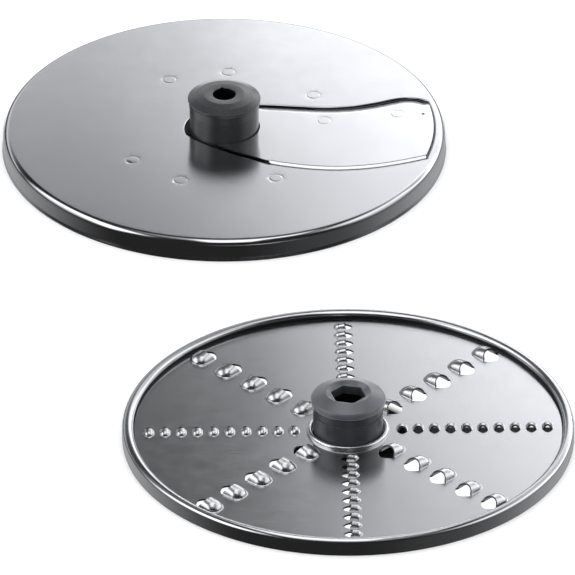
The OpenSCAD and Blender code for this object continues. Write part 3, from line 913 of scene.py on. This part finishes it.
def spot(cx, cy, r0, r1):
    d = fnt.nodes.new("ShaderNodeVectorMath")
    d.operation = "DISTANCE"
    fnt.links.new(ftc.outputs["Object"], d.inputs[0])
    d.inputs[1].default_value = (cx, cy, 0)
    return rng(fnt, d.outputs["Value"], r0, r1, 1, 0)


glow = fnt.nodes.new("ShaderNodeMath")
glow.operation = "SUBTRACT"
glow.use_clamp = True
fnt.links.new(spot(G.x, G.y, 0.085, 0.0865), glow.inputs[0])
fnt.links.new(spot(G.x, G.y, 0.026, 0.030), glow.inputs[1])
fsep = fnt.nodes.new("ShaderNodeSeparateXYZ")
fnt.links.new(ftc.outputs["Object"], fsep.inputs[0])


def fmath(op, a, b):
    n = fnt.nodes.new("ShaderNodeMath")
    n.operation = op
    n.use_clamp = True
    for i, v in enumerate((a, b)):
        if isinstance(v, (int, float)):
            n.inputs[i].default_value = v
        else:
            fnt.links.new(v, n.inputs[i])
    return n.outputs[0]


row = fmath("MULTIPLY", rng(fnt, fsep.outputs["X"], G.x + 0.014, G.x + 0.015, 0, 1), rng(fnt, fsep.outputs["Y"], G.y - 0.003, G.y - 0.002, 0, 1))
row = fmath("MULTIPLY", row, rng(fnt, fsep.outputs["Y"], G.y + 0.0075, G.y + 0.0085, 1, 0))
row = fmath("MULTIPLY", row, rng(fnt, fsep.outputs["X"], G.x + 0.0815, G.x + 0.0825, 1, 0))
# painted shade: the floor's colour is darkened under the grating hub and under the right-hand row of small teeth
shade = spot(G.x, G.y, 0.026, 0.030)
shade = fmath("MAXIMUM", shade, fmath("MULTIPLY", row, 0.8))
dark = ramp(fnt, shade, [(0.0, (0.9, 0.9, 0.9)), (1.0, (0.02, 0.02, 0.02))])
fnt.links.new(dark.outputs["Color"], fb.inputs["Base Color"])
fb.inputs["Emission Color"].default_value = (1, 1, 1, 1)
fnt.links.new(fmath("SUBTRACT", glow.outputs[0], row), fb.inputs["Emission Strength"])
fm.cycles.emission_sampling = "NONE"
floor.data.materials.append(fm)
floor.visible_glossy = False

world = bpy.data.worlds.new("studio")
scene.world = world
world.use_nodes = True
world.cycles.sampling_method = "NONE"
wn = world.node_tree
for n in list(wn.nodes):
    wn.nodes.remove(n)
wout = wn.nodes.new("ShaderNodeOutputWorld")
bg = wn.nodes.new("ShaderNodeBackground")
wn.links.new(bg.outputs[0], wout.inputs["Surface"])
tc = wn.nodes.new("ShaderNodeTexCoord")
sep = wn.nodes.new("ShaderNodeSeparateXYZ")
wn.links.new(tc.outputs["Generated"], sep.inputs[0])


def wmath(op, a, b=None):
    n = wn.nodes.new("ShaderNodeMath")
    n.operation = op
    for i, v in enumerate((a, b)):
        if v is None:
            continue
        if isinstance(v, (int, float)):
            n.inputs[i].default_value = v
        else:
            wn.links.new(v, n.inputs[i])
    return n.outputs[0]


def wstep(v, a, b, c=0.0, d=1.0):
    m = wn.nodes.new("ShaderNodeMapRange")
    m.interpolation_type = "SMOOTHSTEP"
    for i, q in zip(("From Min", "From Max", "To Min", "To Max"), (a, b, c, d)):
        m.inputs[i].default_value = q
    wn.links.new(v, m.inputs["Value"])
    return m.outputs["Result"]


def wprod(*v):
    out = v[0]
    for q in v[1:]:
        out = wmath("MULTIPLY", out, q)
    return out


X, Y, Z = sep.outputs["X"], sep.outputs["Y"], sep.outputs["Z"]
# what reflections see: a dark room with a tall soft light at each side
left = wprod(wstep(X, -0.42, -0.60), wstep(Z, 0.10, 0.28), wstep(Z, 0.93, 0.84), wstep(Y, -0.62, -0.42), wstep(Y, 0.48, 0.30),
             wstep(X, -0.78, -0.90, 1.95, 0.75))
right = wprod(wstep(X, 0.36, 0.70), wstep(Z, -0.05, 0.30), wstep(Z, 0.95, 0.80), wstep(Y, -0.50, -0.10), wstep(X, 0.80, 0.91, 1.3, 0.65))
back = wprod(wstep(Y, 0.25, 0.7), wstep(Z, 0.10, 0.30), wstep(Z, 0.85, 0.70), wstep(X, -0.3, 0.4, 0.22, 0.9))
top = wprod(wstep(Z, 0.90, 0.97), 0.35)
low = wprod(wstep(Z, 0.02, -0.10), wstep(Y, -0.50, 0.95, 0.0, 0.42))
low3 = wprod(wstep(Z, 0.02, -0.10), wstep(Y, 0.84, 0.97), 1.6)
low2 = wprod(wstep(Z, 0.02, -0.10), wstep(X, 0.1, 0.9, 0.0, 0.05))
gl = 0.023
for q in (left, right, back, top, low, low2, low3):
    gl = wmath("ADD", q, gl)
lp = wn.nodes.new("ShaderNodeLightPath")
mix = wn.nodes.new("ShaderNodeMix")
mix.data_type = "FLOAT"
wn.links.new(lp.outputs["Is Glossy Ray"], mix.inputs[0])
mix.inputs[2].default_value = 1.55
wn.links.new(gl, mix.inputs[3])
wn.links.new(mix.outputs[0], bg.inputs["Strength"])
bg.inputs["Color"].default_value = (0.985, 0.99, 1.0, 1)

# a tall card behind the discs that only reflections see: dark at the left, bright at the right,
# its lower band lighting the slicing disc and its upper band the grating disc
card_me = bpy.data.meshes.new("card")
card_me.from_pydata([(-0.9, 0.62, 0.17), (0.9, 0.62, 0.17), (0.9, 0.62, 0.75), (-0.9, 0.62, 0.75)], [], [(0, 1, 2, 3)])
card = link("card", card_me)
cm = bpy.data.materials.new("card_light")
cm.use_nodes = True
cnt = cm.node_tree
for n in list(cnt.nodes):
    cnt.nodes.remove(n)
co_ = cnt.nodes.new("ShaderNodeOutputMaterial")
em = cnt.nodes.new("ShaderNodeEmission")
cnt.links.new(em.outputs[0], co_.inputs["Surface"])
ctc = cnt.nodes.new("ShaderNodeTexCoord")
csep = cnt.nodes.new("ShaderNodeSeparateXYZ")
cnt.links.new(ctc.outputs["Object"], csep.inputs[0])
grey = lambda v: (v, v * 1.005, v * 1.03)
lower = ramp(cnt, rng(cnt, csep.outputs["X"], -0.2, 0.2, 0, 1), [
    (0.0, grey(0.52)), (0.30, grey(0.65)), (0.40, grey(0.88)), (0.48, grey(1.22)), (0.60, grey(1.42)), (0.75, grey(1.62)), (1.0, grey(1.62))])
upper = ramp(cnt, rng(cnt, csep.outputs["X"], -0.2, 0.2, 0, 1), [
    (0.0, grey(0.05)), (0.38, grey(0.06)), (0.47, grey(0.16)), (0.55, grey(0.62)), (0.66, grey(1.08)), (0.80, grey(1.6)), (1.0, grey(1.85))])
band = nt_mix = cnt.nodes.new("ShaderNodeMix")
band.data_type = "RGBA"
cnt.links.new(rng(cnt, csep.outputs["Z"], 0.345, 0.395, 0, 1), band.inputs[0])
cnt.links.new(lower.outputs["Color"], band.inputs[6])
cnt.links.new(upper.outputs["Color"], band.inputs[7])
cnt.links.new(band.outputs[2], em.inputs["Color"])
fall = ramp(cnt, rng(cnt, csep.outputs["Z"], 0.15, 0.75, 0, 1), [
    (0.0, (0.0,) * 3), (0.06, (1.1,) * 3), (0.16, (1.72,) * 3), (0.34, (0.40,) * 3), (0.41, (1.40,) * 3), (0.57, (0.44,) * 3), (1.0, (0.2,) * 3)])
cnt.links.new(fall.outputs["Color"], em.inputs["Strength"])
cm.cycles.emission_sampling = "NONE"
card.data.materials.append(cm)
for a in ("visible_camera", "visible_diffuse", "visible_shadow", "visible_transmission", "visible_volume_scatter"):
    setattr(card, a, False)

# an L-shaped light high over the grating disc, again only for reflections
lid_me = bpy.data.meshes.new("lid")
lid_me.from_pydata([(-0.076, -0.03, 0.30), (0.124, -0.03, 0.30), (0.124, 0.07, 0.30), (-0.076, 0.07, 0.30),
                    (-0.076, -0.21, 0.30), (0.06, -0.21, 0.30), (0.06, -0.03, 0.30)], [], [(0, 1, 2, 3), (4, 5, 6, 0)])
lid = link("lid", lid_me)
lm = bpy.data.materials.new("lid_light")
lm.use_nodes = True
lnt = lm.node_tree
for n in list(lnt.nodes):
    lnt.nodes.remove(n)
lo_ = lnt.nodes.new("ShaderNodeOutputMaterial")
le = lnt.nodes.new("ShaderNodeEmission")
le.inputs["Strength"].default_value = 1.5
lnt.links.new(le.outputs[0], lo_.inputs["Surface"])
lm.cycles.emission_sampling = "NONE"
lid.data.materials.append(lm)
for a in ("visible_camera", "visible_diffuse", "visible_shadow", "visible_transmission", "visible_volume_scatter"):
    setattr(lid, a, False)

scene.view_settings.view_transform = "Standard"
